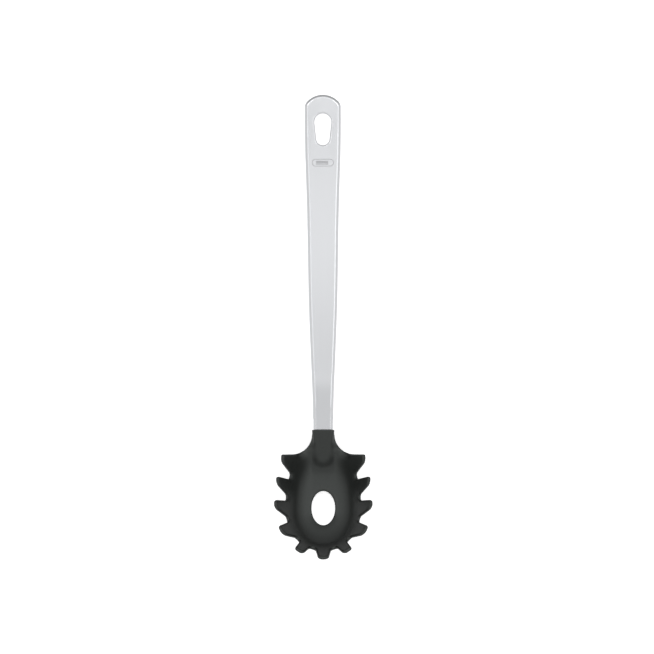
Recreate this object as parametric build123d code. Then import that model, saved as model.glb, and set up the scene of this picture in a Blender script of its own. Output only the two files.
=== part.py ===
from build123d import *
from math import asin, atan, cos, hypot, radians, sin, tan
import os

# A pasta server lying face up on a table, in millimetres.
# +Y runs from the bowl to the hanging end of the handle, +Z is up, and X is across.

# Bowl: an egg-shaped dish, turned about its own axis and stretched, with a flaring wall.
floor_radius = 80.0  # crown of the dish's floor across its width
floor_half_width = 14.2  # where the floor turns up into the wall
wall_bend_radius = 10.0
wall_angle = 60.0  # degrees above the floor
bowl_wall = 2.3
prong_tip_height = 24.8  # above the middle of the floor
far_stretch_share = 1.151  # length of the egg's far half over its half width
near_stretch_share = 2.0  # the same for the half towards the neck
egg_offset = 3.3  # from the middle of the drain hole to the widest place of the egg
hub_radius = 4.0  # of the egg's empty middle, all of it inside the drain hole
bowl_tilt = 14.0  # degrees that the dish leans back towards the handle

# Gaps between the eleven prongs, on one side. Each has its place round the egg as a share of
# a quarter turn from the widest part, less than zero towards the neck, then its root height
# and its width as shares of the ones named, and its lean along the wall towards the neck as
# a share of the widest.
gap_root_height = 12.0
gap_width = 13.4  # at the prong tips
gap_lean = 4.5  # degrees
gap_shares = (
    (-0.302, 1.0, 0.88, 0.44),
    (-0.098, 1.0, 0.925, 0.56),
    (0.171, 1.0, 1.007, 0.27),
    (0.533, 1.05, 0.965, 0.89),
    (0.818, 1.017, 0.83, -1.0),
)
gap_root_radius = 2.4
prong_edge_radius = 0.85
prong_tip_radius = 4.2  # on a prong's side towards the neck
prong_back_radius = 6.2  # on its side away from the neck
prong_tip_lean = 78.0  # degrees from upright to which a tip's rounding turns

# Oval drain hole, which also measures out a portion of spaghetti.
drain_width = 16.2
drain_length = 24.2

# Neck, with the boss that runs out into the bowl. It holds the handle's end and the tang.
neck_rise = 15.0  # degrees that the neck climbs towards the handle
mouth_distance = 53.8  # from the middle of the drain hole to the mouth of the socket
neck_width = 15.6
neck_thickness = 8.4
neck_edge_radius = 2.6
neck_sink = 0.4  # how far the neck's underside lies inside the bowl's wall where they meet
boss_tip_width = 11.0
boss_tip_radius = 5.2
boss_length = 27.6  # from the mouth to the tip of the boss
boss_straight = 16.0  # from the mouth to where the top of the boss turns down
boss_nose_radius = 26.0
boss_nose_turn = 42.0  # degrees that the top of the boss turns down at its nose
heel_slope_shares = (1.0, 0.75, 0.5, 0.25)  # places under the bowl that the neck follows
shoulder_distance = 37.0  # from the middle of the drain hole to the ears' straight edge
shoulder_radius = 13.5

# Handle: two pressed steel shells, welded along their edges.
handle_run = 230.8  # from the mouth of the socket to the hanging end
handle_waist = 13.4  # width at the mouth of the socket
handle_widest = 24.6
# Places along the run, and how far the width has grown there from the waist to the widest.
side_place_shares = (0.195, 0.372, 0.687, 0.913)
side_growth_shares = (0.235, 0.515, 0.760, 1.0)
end_radius = 14.8  # of the blunt hanging end
end_corner_radius = 5.5
handle_thickness = 6.0
sheet = 1.0
handle_edge_radius = 2.2
bend_straight = 16.0  # of the handle, from the mouth to its bend
bend_radius = 95.0
crest_fall = 0.5  # degrees that the handle already falls after its bend
handle_insertion = 6.0  # of the shells into the socket

# Hanging slot, wider at the top.
slot_top_radius = 5.85
slot_bottom_radius = 4.6
slot_length = 21.9
slot_from_end = 12.9
slot_lip_radius = 1.1

# Tang: a steel tongue, welded into the end of the handle and buried in the boss.
tang_width = 9.0
tang_thickness = 2.5
tang_reach = 21.5  # from the mouth into the boss
tang_root_length = 11.0  # of the thick root, most of it between the shells
tang_root_lead = 1.0  # of the root, past the shells' ends into the boss
tang_corner_radius = 2.5
lock_hole_diameter = 3.2
lock_hole_count = 2
lock_hole_pitch = 6.0
lock_hole_from_tip = 4.5

overrun = 4.0  # how far cutters pass the faces that they cut
upright_share = 0.01  # most that a face may look up or down and still be a wall
lid_share = 0.4  # least that a face looks up or down to be the lid of a wall


def wall_foot():
    """Where the bend at the floor's edge runs out into the straight wall."""
    edge, wall = floor_edge_angle(), radians(wall_angle)
    return (
        floor_half_width + wall_bend_radius * (sin(wall) - sin(edge)),
        floor_radius * (1 - cos(edge)) + wall_bend_radius * (cos(edge) - cos(wall)),
    )


def floor_edge_angle():
    """How steep the floor is where the bend begins."""
    return asin(floor_half_width / floor_radius)


def wall_radius(height):
    """Half width of the bowl's inner face at a height on the straight wall."""
    foot_radius, foot_height = wall_foot()
    return foot_radius + (height - foot_height) / tan(radians(wall_angle))


def bend_centre():
    """Centre of the bend between the floor and the wall."""
    edge = floor_edge_angle()
    return Vector(
        floor_half_width - wall_bend_radius * sin(edge),
        floor_radius * (1 - cos(edge)) + wall_bend_radius * cos(edge),
    )


def at_slope(centre, radius, slope):
    """Point under a centre where an arc has climbed to a slope."""
    return centre + Vector(sin(slope), -cos(slope)) * radius


def bowl_profile():
    """Half section of the bowl's wall, from the empty hub to the rounded rim."""
    edge, wall = floor_edge_angle(), radians(wall_angle)
    hub = asin(hub_radius / floor_radius)
    floor_centre = Vector(0, floor_radius)
    inner_tip = Vector(wall_radius(prong_tip_height), prong_tip_height)
    outer_tip = inner_tip + Vector(sin(wall), -cos(wall)) * bowl_wall
    rim_top = (inner_tip + outer_tip) / 2 + Vector(cos(wall), sin(wall)) * bowl_wall / 2

    def floor_arc(radius):
        places = [at_slope(floor_centre, radius, a) for a in (hub, (hub + edge) / 2, edge)]
        return ThreePointArc(*places)

    def bend_arc(radius):
        places = [at_slope(bend_centre(), radius, a) for a in (edge, (edge + wall) / 2, wall)]
        return ThreePointArc(*places)

    inner_floor = floor_arc(floor_radius)
    outer_floor = floor_arc(floor_radius + bowl_wall)
    inner_bend = bend_arc(wall_bend_radius)
    outer_bend = bend_arc(wall_bend_radius + bowl_wall)
    curves = [
        inner_floor,
        inner_bend,
        Line(inner_bend @ 1, inner_tip),
        ThreePointArc(inner_tip, rim_top, outer_tip),
        Line(outer_tip, outer_bend @ 1),
        outer_bend,
        outer_floor,
        Line(outer_floor @ 0, inner_floor @ 0),
    ]
    return Plane.XZ * make_face(curves)


def egg_shell():
    """The dish before anything is cut: two half turns, each stretched its own way."""
    half = revolve(bowl_profile(), Axis.Z, 180)
    if half.center().Y < 0:
        half = mirror(half, about=Plane.XZ)
    near = scale(half, by=(1, near_stretch_share, 1))
    far = mirror(scale(half, by=(1, far_stretch_share, 1)), about=Plane.XZ)
    return Pos(Y=-egg_offset) * (near + far)


def gap_outline(reach, mouth):
    """Outline of a gap, flat on the wall: a round root between two flaring, rounded sides."""
    near = gap_side(reach, mouth, prong_back_radius)
    far = gap_side(reach, mouth, prong_tip_radius)
    return make_face(near + [mirror(curve, about=Plane.YZ) for curve in far])


def gap_side(reach, mouth, tip_radius):
    """Right side of a gap, from its root round a prong's tip and back to the middle line."""
    flare = atan((mouth / 2 - gap_root_radius) / reach)
    leaving = Vector(cos(flare), -sin(flare))
    side_foot = Vector(0, gap_root_radius) + leaving * gap_root_radius
    last = radians(prong_tip_lean)
    centre_height = reach + bowl_wall / 2 - tip_radius
    centre_rise = centre_height - side_foot.Y + tip_radius * sin(flare)
    side_top = side_foot + Vector(sin(flare), cos(flare)) * centre_rise / cos(flare)
    centre = side_top + leaving * tip_radius

    def on_tip(lean):
        return centre + Vector(-cos(lean), sin(lean)) * tip_radius

    tip_end = on_tip(last)
    top = reach + bowl_wall + overrun
    corner = tip_end + Vector(tan(last), 1) * (top - tip_end.Y)
    return [
        ThreePointArc((0, 0), root_point(flare), side_foot),
        Line(side_foot, side_top),
        ThreePointArc(side_top, on_tip((flare + last) / 2), tip_end),
        Line(tip_end, corner),
        Line(corner, (0, top)),
    ]


def root_point(flare):
    """Middle of the right half of a gap's round root."""
    angle = (radians(90) + flare) / 2
    return Vector(cos(angle), -sin(angle)) * gap_root_radius + Vector(0, gap_root_radius)


def gap_cutter(place_share, height_share, width_share, lean_share):
    """A gap's outline, cut square through the wall at a place round the egg."""
    stretch = near_stretch_share if place_share < 0 else far_stretch_share
    turn = radians(90) * place_share
    root_height = gap_root_height * height_share
    mouth = gap_width * width_share
    lean = gap_lean * lean_share
    radius = wall_radius(root_height)
    root = Vector(radius * cos(turn), -radius * stretch * sin(turn) - egg_offset, root_height)
    along = Vector(sin(turn), stretch * cos(turn), 0).normalized()
    away = Vector(along.Y, -along.X, 0)
    slope = atan(hypot(cos(turn), sin(turn) / stretch) * tan(radians(wall_angle)))
    up_wall = away * cos(slope) + Vector(0, 0, sin(slope))
    outline = gap_outline((prong_tip_height - root_height) / sin(slope), mouth)
    face = Plane(origin=root, x_dir=along, z_dir=along.cross(up_wall)) * Rot(Z=-lean) * outline
    return extrude(face, amount=bowl_wall + overrun, both=True)


def behind_ears():
    """What the bowl loses behind its ears: all but the round shoulders up to the neck."""
    far = mouth_distance + handle_run
    half = neck_width / 2
    tangent = shoulder_distance + shoulder_radius
    middle = Vector(half + shoulder_radius, tangent)
    corner = Vector(half + shoulder_radius, shoulder_distance)
    on_arc = middle - Vector(1, 1).normalized() * shoulder_radius
    side = [
        Line((0, tangent), (half, tangent)),
        ThreePointArc((half, tangent), on_arc, corner),
        Line(corner, (far, shoulder_distance)),
        Line((far, shoulder_distance), (far, far)),
        Line((far, far), (0, far)),
        Line((0, far), (0, tangent)),
    ]
    region = make_face(side)
    return upright(region + mirror(region, about=Plane.YZ), far)


def pronged_bowl():
    """The dish, leant back by its tilt, with its hole, shoulders and gaps, all edges rounded."""
    leant = Rot(X=-bowl_tilt)
    drain = Ellipse(drain_width / 2, drain_length / 2).face()
    hole = extrude(drain, amount=bowl_wall + overrun, both=True)
    bowl = cut_and_round(leant * egg_shell(), leant * hole)
    bowl = cut_and_round(bowl, behind_ears())
    for gap in gap_shares:
        cutter = leant * gap_cutter(*gap)
        bowl = cut_and_round(bowl, cutter)
        bowl = cut_and_round(bowl, mirror(cutter, about=Plane.YZ))
    return bowl


def cut_and_round(bowl, cutter):
    """Cuts the bowl, and rounds the cut's edges, but not those that the neck will cover."""
    cut = bowl - cutter
    neck_end = shoulder_distance + shoulder_radius - prong_edge_radius
    rims = [edge for edge in new_edges(bowl, combined=cut) if edge.center().Y < neck_end]
    return fillet(rims, prong_edge_radius)


def mouth_centre():
    """Middle of the socket's mouth (Y, Z), where the neck carries on the bowl's underside."""
    touch = under_bowl(touch_slope(), neck_sink)
    rise = radians(neck_rise)
    under = touch.Y + (mouth_distance - touch.X) * tan(rise)
    return Vector(mouth_distance, under + neck_thickness / 2 / cos(rise))


def touch_slope():
    """Slope of the unstretched bend where the bowl's underside climbs like the neck."""
    return atan(near_stretch_share * tan(radians(bowl_tilt + neck_rise)))


def under_bowl(slope, depth):
    """Point (Y, Z) at a depth in the bowl's underside, where the unstretched bend has a slope."""
    tilt = radians(bowl_tilt)
    place = at_slope(bend_centre(), wall_bend_radius + bowl_wall - depth, slope)
    along = near_stretch_share * place.X - egg_offset
    return Vector(along * cos(tilt) + place.Y * sin(tilt), place.Y * cos(tilt) - along * sin(tilt))


def rise_direction():
    """Direction (Y, Z) in which the neck climbs."""
    return Vector(cos(radians(neck_rise)), sin(radians(neck_rise)))


def across(side, half):
    """Extrudes an outline seen from the side to a half width on either side."""
    return extrude(Plane.YZ.offset(-half) * side, amount=2 * half)


def upright(outline, half):
    """Extrudes an outline seen from above to a half height up and down."""
    return extrude(Plane.XY.offset(-half) * outline, amount=2 * half)


def neck_prism(side):
    """Extrudes a closed side outline across, and trims it to the neck's outline from above."""
    band = across(make_face(side), neck_width)
    tip = mouth_distance - boss_length
    back = mouth_distance + neck_thickness
    growth = (neck_width - boss_tip_width) / 2 / boss_length
    wide = neck_width / 2 + growth * neck_thickness
    narrow = boss_tip_width / 2
    corners = ((-wide, back), (-narrow, tip), (narrow, tip), (wide, back))
    plan = make_face(Polyline(*corners, close=True))
    plan = fillet(plan.vertices().group_by(Axis.Y)[0], boss_tip_radius)
    return band & upright(plan, handle_run)


def rim_edges(prism, upward, open_end):
    """Edges between the upright walls of a prism, but for its open end, and what lids them."""
    walls = [face for face in prism.faces() if abs(face.normal_at().Z) < upright_share]
    walls = [wall for wall in walls if abs(wall.center().Y - open_end) > sheet]
    lids = [face for face in prism.faces() if face.normal_at().Z * upward > lid_share]
    wall_edges = [edge for wall in walls for edge in wall.edges()]
    lid_edges = [edge for lid in lids for edge in lid.edges()]
    return [edge for edge in lid_edges if any(edge.is_same(other) for other in wall_edges)]


def neck():
    """The neck and its boss, up to the mouth of the socket, all its long edges rounded."""
    ahead = rise_direction()
    far = Vector(0, handle_run)
    half = Vector(0, neck_thickness / 2 / ahead.X)
    top, under = mouth_centre() + half, mouth_centre() - half
    turn_start = top - ahead * boss_straight
    nose = JernArc(turn_start, -ahead, boss_nose_radius, boss_nose_turn)
    tail = nose @ 1 + (nose % 1) * boss_length
    upper = neck_prism(
        [
            Line(top - far, top),
            Line(top, turn_start),
            nose,
            Line(nose @ 1, tail),
            Line(tail, top - far),
        ]
    )
    places = [under_bowl(touch_slope() * share, neck_sink) for share in heel_slope_shares]
    heel = Spline(*places, tangents=(-ahead, places[-1] - places[-2]))
    lower = neck_prism(
        [
            Line(under + far, under),
            Line(under, places[0]),
            heel,
            Line(heel @ 1, heel @ 1 + far),
            Line(heel @ 1 + far, under + far),
        ]
    )
    upper = fillet(rim_edges(upper, 1, mouth_distance), neck_edge_radius)
    lower = fillet(rim_edges(lower, -1, mouth_distance), neck_edge_radius)
    return upper & lower


def handle_start():
    """Where the shells begin, inside the socket."""
    return mouth_distance - handle_insertion * cos(radians(neck_rise))


def handle_outline(inset, extra):
    """The handle's outline from above, inset all round, with extra length at its lower end."""
    waist = handle_waist / 2 - inset
    widest = handle_widest / 2 - inset
    start = handle_start() - extra
    places = [Vector(waist, mouth_distance)]
    for place, growth in zip(side_place_shares, side_growth_shares):
        places.append(Vector(waist + (widest - waist) * growth, mouth_distance + handle_run * place))
    radius = end_radius - inset
    end = mouth_distance + handle_run - inset
    corner = Vector(widest, end - radius + (radius**2 - widest**2) ** 0.5)
    side = Spline(*places, tangents=((0, 1), (0, 1)))
    half = [
        Line((0, start), (waist, start)),
        Line((waist, start), places[0]),
        side,
        Line(side @ 1, corner),
        RadiusArc(corner, (-corner.X, corner.Y), -radius),
    ]
    other = [mirror(curve, about=Plane.YZ) for curve in half[:-1]]
    outline = make_face(half + other)
    corners = outline.vertices().sort_by(lambda v: abs(v.Y - corner.Y))[:2]
    return fillet(corners, end_corner_radius - inset)


def handle_path():
    """The handle's middle line from the side (Y, Z): up, over its bend, and down to the table."""
    ahead = rise_direction()
    start = mouth_centre() - ahead * (handle_insertion + overrun)
    bend_start = mouth_centre() + ahead * bend_straight
    bend = JernArc(bend_start, ahead, bend_radius, -neck_rise - crest_fall)
    rest_distance = mouth_distance + handle_run - handle_edge_radius
    rest = Vector(rest_distance, table_height() + handle_thickness / 2)
    shaft = TangentArc(bend @ 1, rest, tangent=bend % 1)
    past_end = rest + (shaft % 1) * (handle_edge_radius + overrun)
    return [Line(start, bend_start), bend, shaft, Line(rest, past_end)]


def table_height():
    """Height of the bowl's lowest place, on which the server rests."""
    level = atan(near_stretch_share * tan(radians(bowl_tilt)))
    return under_bowl(level, 0).Y


def handle_band(low, high):
    """Everything between two offsets from the handle's middle line, right across."""
    def beside(curve, offset):
        places = []
        for share in (0, 0.5, 1):
            direction = curve % share
            places.append(curve @ share + Vector(-direction.Y, direction.X) * offset)
        if curve.geom_type == GeomType.LINE:
            return Line(places[0], places[2])
        return ThreePointArc(*places)

    under = [beside(curve, low) for curve in handle_path()]
    over = [beside(curve, high) for curve in handle_path()]
    caps = [Line(under[0] @ 0, over[0] @ 0), Line(under[-1] @ 1, over[-1] @ 1)]
    face = make_face(under + over + caps)
    return across(face, handle_widest)


def handle_solid(inset, extra):
    """The handle's solid form, inset by a wall's thickness, its long edges rounded."""
    half = handle_thickness / 2 - inset
    prism = handle_band(-half, half) & upright(handle_outline(inset, extra), handle_run)
    start = handle_start() - extra
    edges = rim_edges(prism, 1, start) + rim_edges(prism, -1, start)
    return fillet(edges, handle_edge_radius - inset)


def slot_cutter(grow):
    """The hanging slot, right through the handle, grown all round."""
    top = mouth_distance + handle_run - slot_from_end - slot_top_radius
    bottom = mouth_distance + handle_run - slot_from_end - slot_length + slot_bottom_radius
    circles = [
        CenterArc((0, top), slot_top_radius + grow, 0, 360),
        CenterArc((0, bottom), slot_bottom_radius + grow, 0, 360),
    ]
    outline = make_hull([circle.edge() for circle in circles])
    return upright(outline, handle_run)


def handle_shells(outer):
    """The hollow handle, parted along its middle into the front and the back pressing."""
    slotted = outer - slot_cutter(0)
    slotted = fillet(new_edges(outer, combined=slotted), slot_lip_radius)
    hollow = slotted - (handle_solid(sheet, overrun) - slot_cutter(sheet))
    front = hollow & handle_band(0, handle_thickness)
    back = hollow & handle_band(-handle_thickness, 0)
    return front, back


def tang():
    """The tongue with its thick root, along the socket's axis."""
    root_start = -handle_insertion - tang_root_lead
    tongue_length = tang_reach + root_start
    tongue = Box(
        tang_width, tongue_length, tang_thickness, align=(Align.CENTER, Align.MAX, Align.CENTER)
    )
    tongue = fillet(tongue.edges().filter_by(Axis.Z).group_by(Axis.Y)[0], tang_corner_radius)
    root = Box(
        tang_width,
        tang_root_length,
        handle_thickness - 2 * sheet,
        align=(Align.CENTER, Align.MIN, Align.CENTER),
    )
    bar = Pos(Y=root_start) * (tongue + root)
    for number in range(lock_hole_count):
        place = -tang_reach + lock_hole_from_tip + number * lock_hole_pitch
        bar -= Pos(Y=place) * Cylinder(lock_hole_diameter / 2, handle_thickness)
    mouth = mouth_centre()
    return Pos(0, mouth.X, mouth.Y) * Rot(X=neck_rise) * bar


outer = handle_solid(0, 0)
front_shell, back_shell = handle_shells(outer)
tongue_bar = tang()
head = pronged_bowl() + neck() - outer - tongue_bar

nodes = {
    "server_head": head,
    "head_tang": tongue_bar,
    "handle_front_shell": front_shell,
    "handle_back_shell": back_shell,
}
boxes = [solid.bounding_box() for solid in nodes.values()]
low_y, high_y = min(box.min.Y for box in boxes), max(box.max.Y for box in boxes)
to_table = Pos(Y=-(low_y + high_y) / 2, Z=-min(box.min.Z for box in boxes))

os.makedirs("parts", exist_ok=True)
for name, solid in nodes.items():
    export_step(to_table * solid, f"parts/{name}.step")
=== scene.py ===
# %% [markdown]
# # A pasta server, finished for the picture
#
# The server lies face up on a pale table. Its head is one moulding of black nylon and its
# handle is two pressed steel shells, welded along their edges. The frame already holds all
# four solids at their real size, so this lesson gives them their surfaces, softens what a
# mould softens, and lights them. Everything is in metres.

from math import radians

import bmesh
import bpy
from mathutils import Matrix, Vector


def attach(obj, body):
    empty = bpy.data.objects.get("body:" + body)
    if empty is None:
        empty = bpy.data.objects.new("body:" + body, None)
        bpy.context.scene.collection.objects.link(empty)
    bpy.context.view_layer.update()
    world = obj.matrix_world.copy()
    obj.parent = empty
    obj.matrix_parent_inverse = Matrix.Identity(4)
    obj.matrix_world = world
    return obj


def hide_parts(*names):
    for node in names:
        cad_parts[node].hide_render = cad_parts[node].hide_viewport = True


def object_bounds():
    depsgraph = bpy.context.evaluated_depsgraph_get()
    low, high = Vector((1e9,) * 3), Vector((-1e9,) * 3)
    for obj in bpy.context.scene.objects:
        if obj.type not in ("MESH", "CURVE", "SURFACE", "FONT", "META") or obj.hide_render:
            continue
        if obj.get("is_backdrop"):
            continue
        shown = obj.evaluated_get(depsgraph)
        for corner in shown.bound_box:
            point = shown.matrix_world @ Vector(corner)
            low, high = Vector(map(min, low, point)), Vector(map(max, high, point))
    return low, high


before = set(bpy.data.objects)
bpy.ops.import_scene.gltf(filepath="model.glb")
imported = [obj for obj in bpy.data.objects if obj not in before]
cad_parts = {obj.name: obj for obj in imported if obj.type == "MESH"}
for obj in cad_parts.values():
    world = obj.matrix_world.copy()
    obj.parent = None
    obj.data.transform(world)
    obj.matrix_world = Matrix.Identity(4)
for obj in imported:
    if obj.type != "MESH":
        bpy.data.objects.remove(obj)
cad_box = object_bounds()
MM = 0.001
for thing in bpy.context.selected_objects:
    thing.select_set(False)
print("solids:", sorted(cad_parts))

# %% [markdown]
# The finishes come first. A material is a small graph of nodes, and a few helpers keep the
# graphs short: they start a material, add a node with its settings, link two nodes, give a
# noise pattern that can be stretched along a direction, which is what brushing is, spread a
# value over a range, and turn a pattern into relief.

# %% Helpers for materials
def new_material(name, color, roughness, metallic):
    """A material with its main shader set."""
    material = bpy.data.materials.new(name)
    material.use_nodes = True
    shader = material.node_tree.nodes["Principled BSDF"]
    shader.inputs["Base Color"].default_value = (*color, 1)
    shader.inputs["Roughness"].default_value = roughness
    shader.inputs["Metallic"].default_value = metallic
    return material, shader


def add_node(owner, kind, **settings):
    """A node in a material or the world, with its properties and sockets set by name."""
    node = owner.node_tree.nodes.new(kind)
    for key, value in settings.items():
        if hasattr(node, key):
            setattr(node, key, value)
        else:
            node.inputs[key.replace("_", " ")].default_value = value
    return node


def link(owner, source, socket, target, into):
    """Joins an output to an input, each by its name or number."""
    owner.node_tree.links.new(source.outputs[socket], target.inputs[into])


def object_noise(material, per_metre, detail):
    """Noise in the piece's own coordinates, so many features to a metre along X, Y and Z."""
    place = add_node(material, "ShaderNodeTexCoord")
    stretch = add_node(material, "ShaderNodeMapping")
    stretch.inputs["Scale"].default_value = per_metre
    noise = add_node(material, "ShaderNodeTexNoise", Scale=1.0, Detail=detail, Roughness=0.55)
    link(material, place, "Object", stretch, "Vector")
    link(material, stretch, "Vector", noise, "Vector")
    return noise


def between(owner, source, socket, low, high, start=0, end=1):
    """Spreads a value that goes from a start to an end over a range of its own."""
    spread = add_node(owner, "ShaderNodeMapRange")
    spread.inputs["From Min"].default_value = start
    spread.inputs["From Max"].default_value = end
    spread.inputs["To Min"].default_value = low
    spread.inputs["To Max"].default_value = high
    link(owner, source, socket, spread, "Value")
    return spread


def roughen(material, shader, pattern, strength, depth):
    """Turns a pattern into relief of a depth on the surface."""
    bump = add_node(material, "ShaderNodeBump", Strength=strength, Distance=depth)
    link(material, pattern, "Fac", bump, "Height")
    link(material, bump, "Normal", shader, "Normal")


# %% [markdown]
# Black nylon leaves a fine-sparked mould, so it is neither glossy nor flat: a soft sheen
# with a grain of under a millimetre. A second, broad noise makes the sheen drift a little,
# as it does on a moulding that has been handled.

# %% Black nylon
NYLON_COLOR = 0.0112, 0.0122, 0.0114
NYLON_IOR = 1.56
NYLON_TINT = 0.94, 1.0, 0.97, 1
NYLON_ROUGHNESS = 0.33, 0.40
GRAINS_PER_METRE = 2600
DRIFTS_PER_METRE = 70


def black_nylon():
    """Nylon with a fine grain and a sheen that drifts between two roughnesses."""
    material, shader = new_material("black_nylon", NYLON_COLOR, NYLON_ROUGHNESS[0], 0.0)
    shader.inputs["IOR"].default_value = NYLON_IOR
    shader.inputs["Specular Tint"].default_value = NYLON_TINT
    grain = object_noise(material, [GRAINS_PER_METRE] * 3, 3)
    drift = object_noise(material, [DRIFTS_PER_METRE] * 3, 4)
    sheen = between(material, drift, "Fac", *NYLON_ROUGHNESS)
    link(material, sheen, "Result", shader, "Roughness")
    roughen(material, shader, grain, 0.16, 0.06 * MM)
    return material


nylon = black_nylon()
print("nylon:", len(nylon.node_tree.nodes), "nodes")

# %% [markdown]
# The steel is brushed along the handle. Brushing is noise with thousands of lines across
# the handle and only a few along it; it roughens the surface and tilts it very slightly.

# %% Brushed steel
HANDLE_COLOR = 0.735, 0.745, 0.765
TANG_COLOR = 0.55, 0.55, 0.56
BRUSH_PER_METRE = 5200, 45, 5200
SMEARS_PER_METRE = 160, 22, 160


def brushed_steel(name, color, roughness):
    """Steel with fine lines along the handle, and a roughness that drifts in smears."""
    material, shader = new_material(name, color, roughness, 1.0)
    lines = object_noise(material, BRUSH_PER_METRE, 4)
    smears = object_noise(material, SMEARS_PER_METRE, 3)
    sheen = between(material, smears, "Fac", roughness - 0.05, roughness + 0.06)
    link(material, sheen, "Result", shader, "Roughness")
    roughen(material, shader, lines, 0.25, 0.02 * MM)
    return material


handle_steel = brushed_steel("brushed_handle_steel", HANDLE_COLOR, 0.20)
tang_steel = brushed_steel("plain_tang_steel", TANG_COLOR, 0.45)
print("steels:", handle_steel.name, tang_steel.name)

# %% Give the solids their finishes
for node, finish in {
    "handle_front_shell": handle_steel,
    "handle_back_shell": handle_steel,
    "head_tang": tang_steel,
    "server_head": nylon,
}.items():
    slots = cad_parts[node].material_slots
    for slot in slots:
        slot.material = finish
    print(node, "has", len(slots), "material slot(s)")

# %% [markdown]
# The real head comes out of its mould with every inner corner blended: the boss that holds
# the tang melts into the bowl's wall and floor. The solid keeps sharp corners there, so the
# head is remade for the picture. A copy of it is merged into one skin first, because a
# solid arrives as loose triangles.

# %% Copy the head and merge its skin
def select_only(thing):
    """Selects one piece, and makes it the active one."""
    bpy.ops.object.select_all(action="DESELECT")
    thing.select_set(True)
    bpy.context.view_layer.objects.active = thing


def duplicate(thing, name):
    """A copy with its own mesh, selected and active."""
    select_only(thing)
    bpy.ops.object.duplicate()
    copy = bpy.context.object
    copy.name = name
    return copy


def in_edit_mode(thing, *steps):
    """Runs steps in edit mode with everything selected."""
    select_only(thing)
    bpy.ops.object.mode_set(mode="EDIT")
    bpy.ops.mesh.select_all(action="SELECT")
    for step in steps:
        step()
    bpy.ops.object.mode_set(mode="OBJECT")


def apply_modifier(thing, kind, **settings):
    """Adds one modifier, sets it, and applies it."""
    select_only(thing)
    modifier = thing.modifiers.new("step", kind)
    for key, value in settings.items():
        setattr(modifier, key, value)
    bpy.ops.object.modifier_apply(modifier=modifier.name)


MERGE_DISTANCE = 0.002 * MM
moulded_head = duplicate(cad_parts["server_head"], "moulded_head")
in_edit_mode(moulded_head, lambda: bpy.ops.mesh.remove_doubles(threshold=MERGE_DISTANCE))
print("merged head:", len(moulded_head.data.vertices), "vertices")

# %% [markdown]
# A ball rolled over the surface can't reach the bottom of an inner corner, and the surface
# that it can reach is exactly the blend that a mould maker cuts. Swelling the skin by the
# ball's radius and shrinking it back gives that surface: what was swallowed by the swelling
# stays filled. Voxels do the merging in between, as they turn overlapping skins into one.

# %% Fill the corners round the boss
BLEND_RADIUS = 4.5 * MM
VOXEL = 0.4 * MM
BOSS_ZONE = Vector((-17, -106, 0)) * MM, Vector((17, -78, 42)) * MM


def zone_box(name, low, high):
    """A box between two corners, to cut with."""
    bpy.ops.mesh.primitive_cube_add(size=1, location=(low + high) / 2)
    box = bpy.context.object
    box.name = name
    box.scale = high - low
    bpy.ops.object.transform_apply()
    return box


def rolled(thing, name, radius):
    """A copy whose inner corners are filled to a rolling ball's radius."""
    skin = duplicate(thing, name)
    apply_modifier(skin, "REMESH", mode="VOXEL", voxel_size=VOXEL)
    apply_modifier(skin, "DISPLACE", strength=radius, mid_level=0)
    apply_modifier(skin, "REMESH", mode="VOXEL", voxel_size=VOXEL)
    apply_modifier(skin, "DISPLACE", strength=-radius, mid_level=0)
    apply_modifier(skin, "REMESH", mode="VOXEL", voxel_size=VOXEL)
    return skin


filling = rolled(moulded_head, "boss_filling", BLEND_RADIUS)
zone = zone_box("boss_zone", *BOSS_ZONE)
apply_modifier(filling, "BOOLEAN", operation="INTERSECT", object=zone, solver="MANIFOLD")
bpy.data.objects.remove(zone)
print("filling:", len(filling.data.polygons), "faces")

# %% Join the filling to the head
HEAD_VOXEL = 0.45 * MM
select_only(filling)
moulded_head.select_set(True)
bpy.context.view_layer.objects.active = moulded_head
bpy.ops.object.join()
apply_modifier(moulded_head, "REMESH", mode="VOXEL", voxel_size=HEAD_VOXEL)
apply_modifier(moulded_head, "SMOOTH", factor=0.5, iterations=5)
print("remade head:", len(moulded_head.data.polygons), "squares")

# %% [markdown]
# Two places of the head still look cut rather than moulded: the boss, and the bend where the
# bowl's floor turns up into its wall. Both are smoothed with the same tool. A vertex group
# says how much each point may move, and fades out before any edge that has to stay crisp.

# %% Soften the boss
BOSS_NOSE = Vector((0, -93, 6)) * MM
NOSE_REACH = Vector((14, 17, 14)) * MM
NOSE_GAIN = 2.5
NOSE_PASSES = 240


def soften(thing, name, share_of, passes):
    """Smooths the points that a rule gives a share above zero, by that share."""
    group = thing.vertex_groups.new(name=name)
    shares = {vertex.index: share_of(vertex) for vertex in thing.data.vertices}
    for index, share in shares.items():
        if share > 0:
            group.add([index], min(1.0, share), "REPLACE")
    apply_modifier(thing, "SMOOTH", factor=0.5, iterations=passes, vertex_group=name)
    print(name, "points:", sum(share > 0 for share in shares.values()))


def near_nose(vertex):
    """Falls from the boss's nose to an egg-shaped limit, on what faces up."""
    away = Vector(d / r for d, r in zip(vertex.co - BOSS_NOSE, NOSE_REACH)).length
    return NOSE_GAIN * (1 - away) if vertex.normal.z > 0 else 0


soften(moulded_head, "soft_boss", near_nose, NOSE_PASSES)

# %% Soften the bend between floor and wall
BOWL_MIDDLE = Vector((0, -121.4, 0)) * MM
BOWL_TILT = radians(14)
EGG_OFFSET = 3.3 * MM
EGG_STRETCH_NEAR = 2.0
EGG_STRETCH_FAR = 1.151
BEND_RING = 9.4, 12.4, 22.0, 24.4
BOSS_ALONG = 10, 22
BOSS_ACROSS = 15, 8
BEND_PASSES = 900


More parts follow.
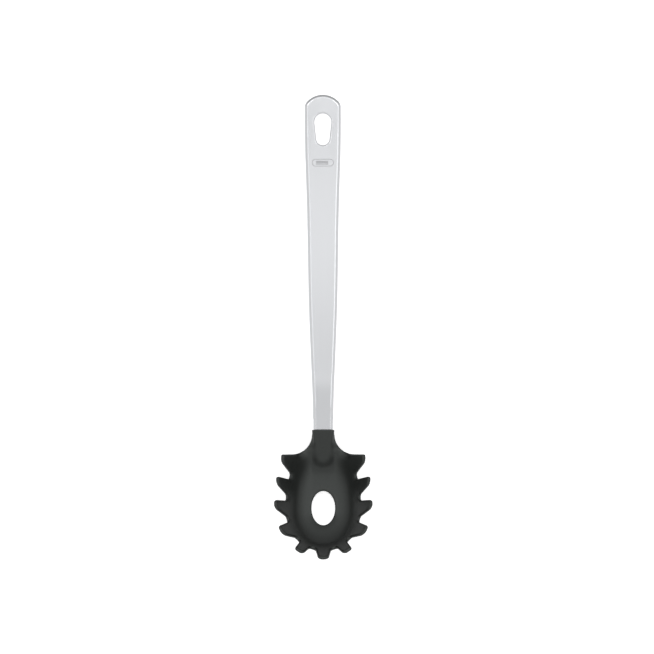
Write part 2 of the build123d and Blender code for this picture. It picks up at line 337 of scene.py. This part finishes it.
def fade(value, nothing, whole):
    """Rises from 0 to 1 as a value goes from one limit to the other."""
    return min(1, max(0, (value - nothing) / (whole - nothing)))


def at_bend(vertex):
    """One over the bend's ring round the egg, fading on both sides and towards the boss."""
    leant = Matrix.Rotation(BOWL_TILT, 3, "X")
    place, facing = leant @ (vertex.co - BOWL_MIDDLE), leant @ vertex.normal
    along = place.y + EGG_OFFSET
    stretch = EGG_STRETCH_NEAR if along > 0 else EGG_STRETCH_FAR
    out = Vector((place.x, along / stretch)).length / MM
    start, full, rest, end = BEND_RING
    boss = fade(along / MM, *BOSS_ALONG) * fade(abs(place.x) / MM, *BOSS_ACROSS)
    inside = 1 if facing.z > 0.3 else 0
    return inside * (1 - boss) * fade(out, start, full) * fade(out, end, rest)


soften(moulded_head, "soft_bend", at_bend, BEND_PASSES)
select_only(moulded_head)
bpy.ops.object.shade_smooth()
print("moulded head:", len(moulded_head.data.polygons), "squares")
moulded_head.data.materials.clear()
moulded_head.data.materials.append(nylon)
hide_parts("server_head")
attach(moulded_head, "root")

# %% [markdown]
# Ejector pins push the head out of its mould and leave faint discs under the bowl, and the
# nylon enters at a gate, which leaves a small nub under the neck. Each starts as a cylinder
# whose top is inset and pushed in, and is then laid on the skin, where a ray from below
# meets it.

# %% Moulding marks under the head
PIN_PLACES = (-10.5, -116), (10.5, -116), (-9.5, -135), (9.5, -135)
PIN_SIZES = dict(radius=2.0 * MM, height=0.4 * MM, rim=0.15 * MM, dip=0.05 * MM)
GATE_SIZES = dict(radius=1.1 * MM, height=0.9 * MM, rim=0.3 * MM, dip=0.15 * MM)
GATE_Y = -83 * MM


def disc_mark(name, radius, height, rim, dip):
    """A low disc at the origin with a raised rim and a dipped middle."""
    bpy.ops.object.select_all(action="DESELECT")
    bpy.ops.mesh.primitive_cylinder_add(vertices=48, radius=radius, depth=height)
    disc = bpy.context.object
    disc.name = name
    bpy.ops.object.mode_set(mode="EDIT")
    bpy.ops.mesh.select_all(action="DESELECT")
    bpy.ops.object.mode_set(mode="OBJECT")
    for face in disc.data.polygons:
        face.select = face.normal.z > 0.9
    bpy.ops.object.mode_set(mode="EDIT")
    bpy.ops.mesh.inset(thickness=rim)
    bpy.ops.mesh.inset(thickness=rim / 2)
    bpy.ops.transform.translate(value=(0, 0, -dip))
    bpy.ops.object.mode_set(mode="OBJECT")
    return disc


def lay_on(thing, skin, x, y, sunk):
    """Lays a mark where a ray from below meets a skin, and bakes its place in its mesh."""
    met, point, normal, _ = skin.ray_cast(Vector((x, y, -0.2)), Vector((0, 0, 1)))
    thing.location = point - normal * sunk
    thing.rotation_euler = normal.to_track_quat("Z", "Y").to_euler()
    select_only(thing)
    bpy.ops.object.transform_apply()
    return met


marks = []
for i, (x, y) in enumerate(PIN_PLACES):
    pin = disc_mark(f"ejector_mark_{i + 1}", **PIN_SIZES)
    print(pin.name, "laid:", lay_on(pin, moulded_head, x * MM, y * MM, sunk=0.12 * MM))
    marks.append(pin)
gate = disc_mark("gate_nub", **GATE_SIZES)
print("gate laid:", lay_on(gate, moulded_head, 0, GATE_Y, sunk=0.15 * MM))
marks.append(gate)
for mark in marks:
    apply_modifier(mark, "BEVEL", width=0.05 * MM, segments=2)
    bpy.ops.object.shade_smooth_by_angle(angle=radians(40))
    mark.data.materials.append(nylon)
    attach(mark, "root")

# %% [markdown]
# The two shells are welded edge to edge, and the weld is ground almost flush. What is left
# is a fine bead round the handle at mid height. It runs along the front shell's lower outer
# edge, so that edge is lifted out of the shell's mesh, strung into a curve, and given a
# round section a third of a millimetre across, half of it inside the steel.

# %% Weld bead round the handle
BEAD_RADIUS = 0.16 * MM
SOCKET_END = -70.4 * MM


def seam_edges(mesh):
    """The edges where a shell's outer side turns under, by the normals of their faces."""
    skin = bmesh.new()
    skin.from_mesh(mesh)
    bmesh.ops.remove_doubles(skin, verts=skin.verts, dist=MERGE_DISTANCE)
    skin.normal_update()
    kept = []
    for edge in skin.edges:
        if len(edge.link_faces) != 2:
            continue
        under, side = sorted(edge.link_faces, key=lambda face: face.normal.z)
        outward = Vector((edge.verts[0].co.x, 0, 0)).dot(side.normal) > 0 or side.normal.y > 0.5
        if under.normal.z < -0.9 and abs(side.normal.z) < 0.35 and outward:
            kept.append(tuple(tuple(v.co) for v in edge.verts))
    skin.free()
    return kept


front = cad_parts["handle_front_shell"]
seam = seam_edges(front.data)
print("seam edges:", len(seam))

# %% Draw the bead
def chain(edges):
    """Puts loose edges in order, as one open line of points."""
    at = {}
    for edge in edges:
        for point, other in (edge, edge[::-1]):
            at.setdefault(tuple(round(v, 6) for v in point), []).append(other)
    start = next(key for key, others in at.items() if len(others) == 1)
    line, seen = [start], {start}
    while True:
        others = [tuple(round(v, 6) for v in p) for p in at[line[-1]]]
        onward = [p for p in others if p not in seen]
        if not onward:
            return line
        line.append(onward[0])
        seen.add(onward[0])


def bead_along(name, points, radius):
    """A round bead of a radius along points, as a mesh with closed ends."""
    curve = bpy.data.curves.new(name, "CURVE")
    curve.dimensions = "3D"
    spline = curve.splines.new("POLY")
    spline.points.add(len(points) - 1)
    for place, point in zip(spline.points, points):
        place.co = (*point, 1)
    curve.bevel_depth = radius
    curve.bevel_resolution = 3
    curve.use_fill_caps = True
    bead = bpy.data.objects.new(name, curve)
    bpy.context.collection.objects.link(bead)
    select_only(bead)
    bpy.ops.object.convert(target="MESH")
    in_edit_mode(
        bead,
        lambda: bpy.ops.mesh.remove_doubles(threshold=0.001 * MM),
        lambda: bpy.ops.mesh.normals_make_consistent(inside=False),
    )
    bpy.ops.object.shade_smooth()
    return bead


seam_line = [point for point in chain(seam) if point[1] > SOCKET_END]
print("seam points:", len(seam_line), "from", seam_line[0], "to", seam_line[-1])
print("furthest along the handle:", max(point[1] for point in seam_line))
weld = bead_along("weld_bead", seam_line, BEAD_RADIUS)
weld.data.materials.append(handle_steel)
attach(weld, "root")

# %% [markdown]
# A small etched field sits below the hanging slot: a plain stadium with three hairlines. A
# circle is pulled apart into a stadium, its rim is inset, and its middle is deleted. The
# flat outline is then dropped onto the steel with a Shrinkwrap, and thickened.

# %% Etched stadium
FIELD_MIDDLE = Vector((0, 113.2, 30)) * MM
FIELD_HALF_LENGTH = 5.0 * MM
FIELD_RADIUS = 2.5 * MM
LINE_WIDTH = 0.28 * MM
HAIRLINE_LENGTH = 8.4 * MM
HAIRLINE_WIDTH = 0.48 * MM
HAIRLINE_STEPS = -0.95, 0, 0.95
ETCH_HEIGHT = 0.05 * MM


def stadium_ring(name, middle, half_length, radius, width):
    """A flat ring round a stadium, made from a filled circle."""
    bpy.ops.object.select_all(action="DESELECT")
    bpy.ops.mesh.primitive_circle_add(
        vertices=64, radius=radius, fill_type="NGON", location=middle,
    )
    ring = bpy.context.object
    ring.name = name
    bpy.ops.object.mode_set(mode="EDIT")
    bpy.ops.mesh.select_mode(type="VERT")
    for side in (-1, 1):
        bpy.ops.mesh.select_all(action="DESELECT")
        bpy.ops.object.mode_set(mode="OBJECT")
        for vertex in ring.data.vertices:
            vertex.select = vertex.co.x * side > 0.01 * radius
        bpy.ops.object.mode_set(mode="EDIT")
        bpy.ops.transform.translate(value=(side * half_length, 0, 0))
    bpy.ops.mesh.select_all(action="SELECT")
    bpy.ops.mesh.inset(thickness=width)
    bpy.ops.mesh.delete(type="FACE")
    bpy.ops.object.mode_set(mode="OBJECT")
    bpy.ops.object.transform_apply()
    return ring


def hairline(middle, length, width):
    """A flat strip, cut up finely enough to follow the steel."""
    bpy.ops.object.select_all(action="DESELECT")
    bpy.ops.mesh.primitive_plane_add(size=1, location=middle)
    line = bpy.context.object
    line.scale = (length, width, 1)
    bpy.ops.object.transform_apply()
    in_edit_mode(line, lambda: bpy.ops.mesh.subdivide(number_cuts=20))
    return line


etched = stadium_ring("etched_field", FIELD_MIDDLE, FIELD_HALF_LENGTH, FIELD_RADIUS, LINE_WIDTH)
for dy in HAIRLINE_STEPS:
    place = FIELD_MIDDLE + Vector((-0.5, dy, 0)) * MM
    line = hairline(place, HAIRLINE_LENGTH, HAIRLINE_WIDTH)
    line.select_set(True)
    etched.select_set(True)
    bpy.context.view_layer.objects.active = etched
    bpy.ops.object.join()
apply_modifier(
    etched, "SHRINKWRAP", target=front, wrap_method="PROJECT", use_project_z=True,
    use_negative_direction=True, use_positive_direction=False, offset=ETCH_HEIGHT,
)
apply_modifier(etched, "SOLIDIFY", thickness=ETCH_HEIGHT * 3, offset=-1)
in_edit_mode(etched, lambda: bpy.ops.mesh.normals_make_consistent(inside=False))
print("etched field lies from", [round(v, 4) for v in etched.bound_box[0]], "to",
      [round(v, 4) for v in etched.bound_box[6]])
ETCHED_COLOR = 0.30, 0.30, 0.31
etched.data.materials.append(brushed_steel("etched_steel", ETCHED_COLOR, 0.5))
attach(etched, "root")

# %% [markdown]
# The table is a pale lit sheet, as under a product photograph, so the shadows stay faint. It
# is kept out of mirrors, where it would turn the underside of every rim white.

# %% Table
TABLE_SIZE = 6.0
TABLE_GLOW = 0.55


def table_material():
    """Paper that glows a little, with a faint fibre."""
    material, shader = new_material("pale_table", (0.97, 0.97, 0.97), 0.6, 0.0)
    shader.inputs["Emission Color"].default_value = (1, 1, 1, 1)
    shader.inputs["Emission Strength"].default_value = TABLE_GLOW
    paper = object_noise(material, (900, 900, 900), 2)
    roughen(material, shader, paper, 0.05, 0.1 * MM)
    return material


bpy.ops.mesh.primitive_plane_add(size=TABLE_SIZE, location=(0, 0, 0))
table = bpy.context.object
table.name = "table"
table.data.materials.append(table_material())
table.visible_glossy = False
table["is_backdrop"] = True
print("table:", TABLE_SIZE, "m square")

# %% [markdown]
# Steel mirrors what is above it, and a mirror adds a lamp's light to the room's behind it.
# One softbox stands behind the lens and one a little beyond, and the gap between the two
# makes the slightly darker band across the handle's bend. The bowl's floor leans towards the
# handle, and mirrors the key, which the handle itself doesn't see. A strip on each side, the
# right one stronger, lights the bend between floor and wall, and edges the handle. A weak
# fill from the bowl's end lights the handle where it dips towards the bowl.

# %% Lamps
def softbox(name, place, towards, size, power):
    """An area light at a place, facing another, with its sides in metres and its watts."""
    bpy.ops.object.light_add(type="AREA", location=place)
    lamp = bpy.context.object
    lamp.name = name
    lamp.data.shape = "RECTANGLE"
    lamp.data.size, lamp.data.size_y = size
    lamp.data.energy = power
    away = Vector(towards) - Vector(place)
    lamp.rotation_euler = away.to_track_quat("-Z", "Y").to_euler()
    print(f"{name}: {power} W, {away.length:.2f} m away")


HANDLE_MIDDLE = 0, 0, 0
softbox("behind the lens", (0, -0.47, 4.475), HANDLE_MIDDLE, (4.6, 0.87), 1.75)
softbox("main", (0, 0.743, 4.438), HANDLE_MIDDLE, (4.6, 0.867), 3.4)
softbox("key for the bowl", (0, 2.25, 3.897), HANDLE_MIDDLE, (4.6, 1.185), 21.0)
softbox("front fill", (0, -3.64, 2.65), (0, -0.1, 0), (3.0, 1.4), 4.0)
softbox("right strip", (2.38, 0, 3.82), HANDLE_MIDDLE, (5.0, 1.9), 16.0)
softbox("left strip", (-2.38, 0, 3.82), HANDLE_MIDDLE, (5.0, 1.9), 10.0)

# %% [markdown]
# The room is bright overhead and dims towards the wall beyond the handle, and black nylon
# shows that best: the far prongs mirror this wall, and stay darker than the bowl's floor.
# The light that comes from a direction is worked out from that direction's Y and Z.

# %% Room
WALL_LIGHT = 0.85, 0.40
CEILING_LIGHT = 0.76
world = bpy.data.worlds.new("room")
bpy.context.scene.world = world
world.use_nodes = True
sky = world.node_tree.nodes["Background"]
sky.inputs["Color"].default_value = (1, 1, 1, 1)
direction = add_node(world, "ShaderNodeTexCoord")
parts = add_node(world, "ShaderNodeSeparateXYZ")
link(world, direction, "Generated", parts, "Vector")
walls = between(world, parts, "Y", *WALL_LIGHT, start=0.05, end=0.85)
upward = between(world, parts, "Z", 0, 1, start=0.05, end=0.60)
room = add_node(world, "ShaderNodeMix", data_type="FLOAT")
room.inputs[3].default_value = CEILING_LIGHT
link(world, upward, "Result", room, 0)
link(world, walls, "Result", room, 2)
link(world, room, 0, sky, "Strength")
print("room: walls", WALL_LIGHT, "ceiling", CEILING_LIGHT)

# %% [markdown]
# The picture is taken from straight above with a long lens, from far enough that the bowl's
# raised end looks no larger than the handle. Its frame spans 451 mm, and the server lies in
# it a fifteenth of a degree off square, 2.7 mm left of the middle.

# %% Camera
FRAME_WIDTH = 654 * 0.6894 * MM
CAMERA_HEIGHT = 14.0
CAMERA_X = 2.7 * MM
CAMERA_ROLL = radians(-0.07)
SENSOR_WIDTH = 36
bpy.ops.object.camera_add(location=(CAMERA_X, 0, CAMERA_HEIGHT), rotation=(0, 0, CAMERA_ROLL))
camera = bpy.context.object
camera.data.sensor_width = SENSOR_WIDTH
camera.data.lens = SENSOR_WIDTH * CAMERA_HEIGHT / FRAME_WIDTH
camera.data.clip_end = 60
bpy.context.scene.camera = camera
bpy.context.scene.view_settings.view_transform = "Standard"
print("lens:", round(camera.data.lens), "mm")

# %% Print both boxes, and finish
sizes = {"cad": cad_box, "visual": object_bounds()}
sizes = {name: [[round(v, 6) for v in corner] for corner in box] for name, box in sizes.items()}
print("boxes:", sizes)
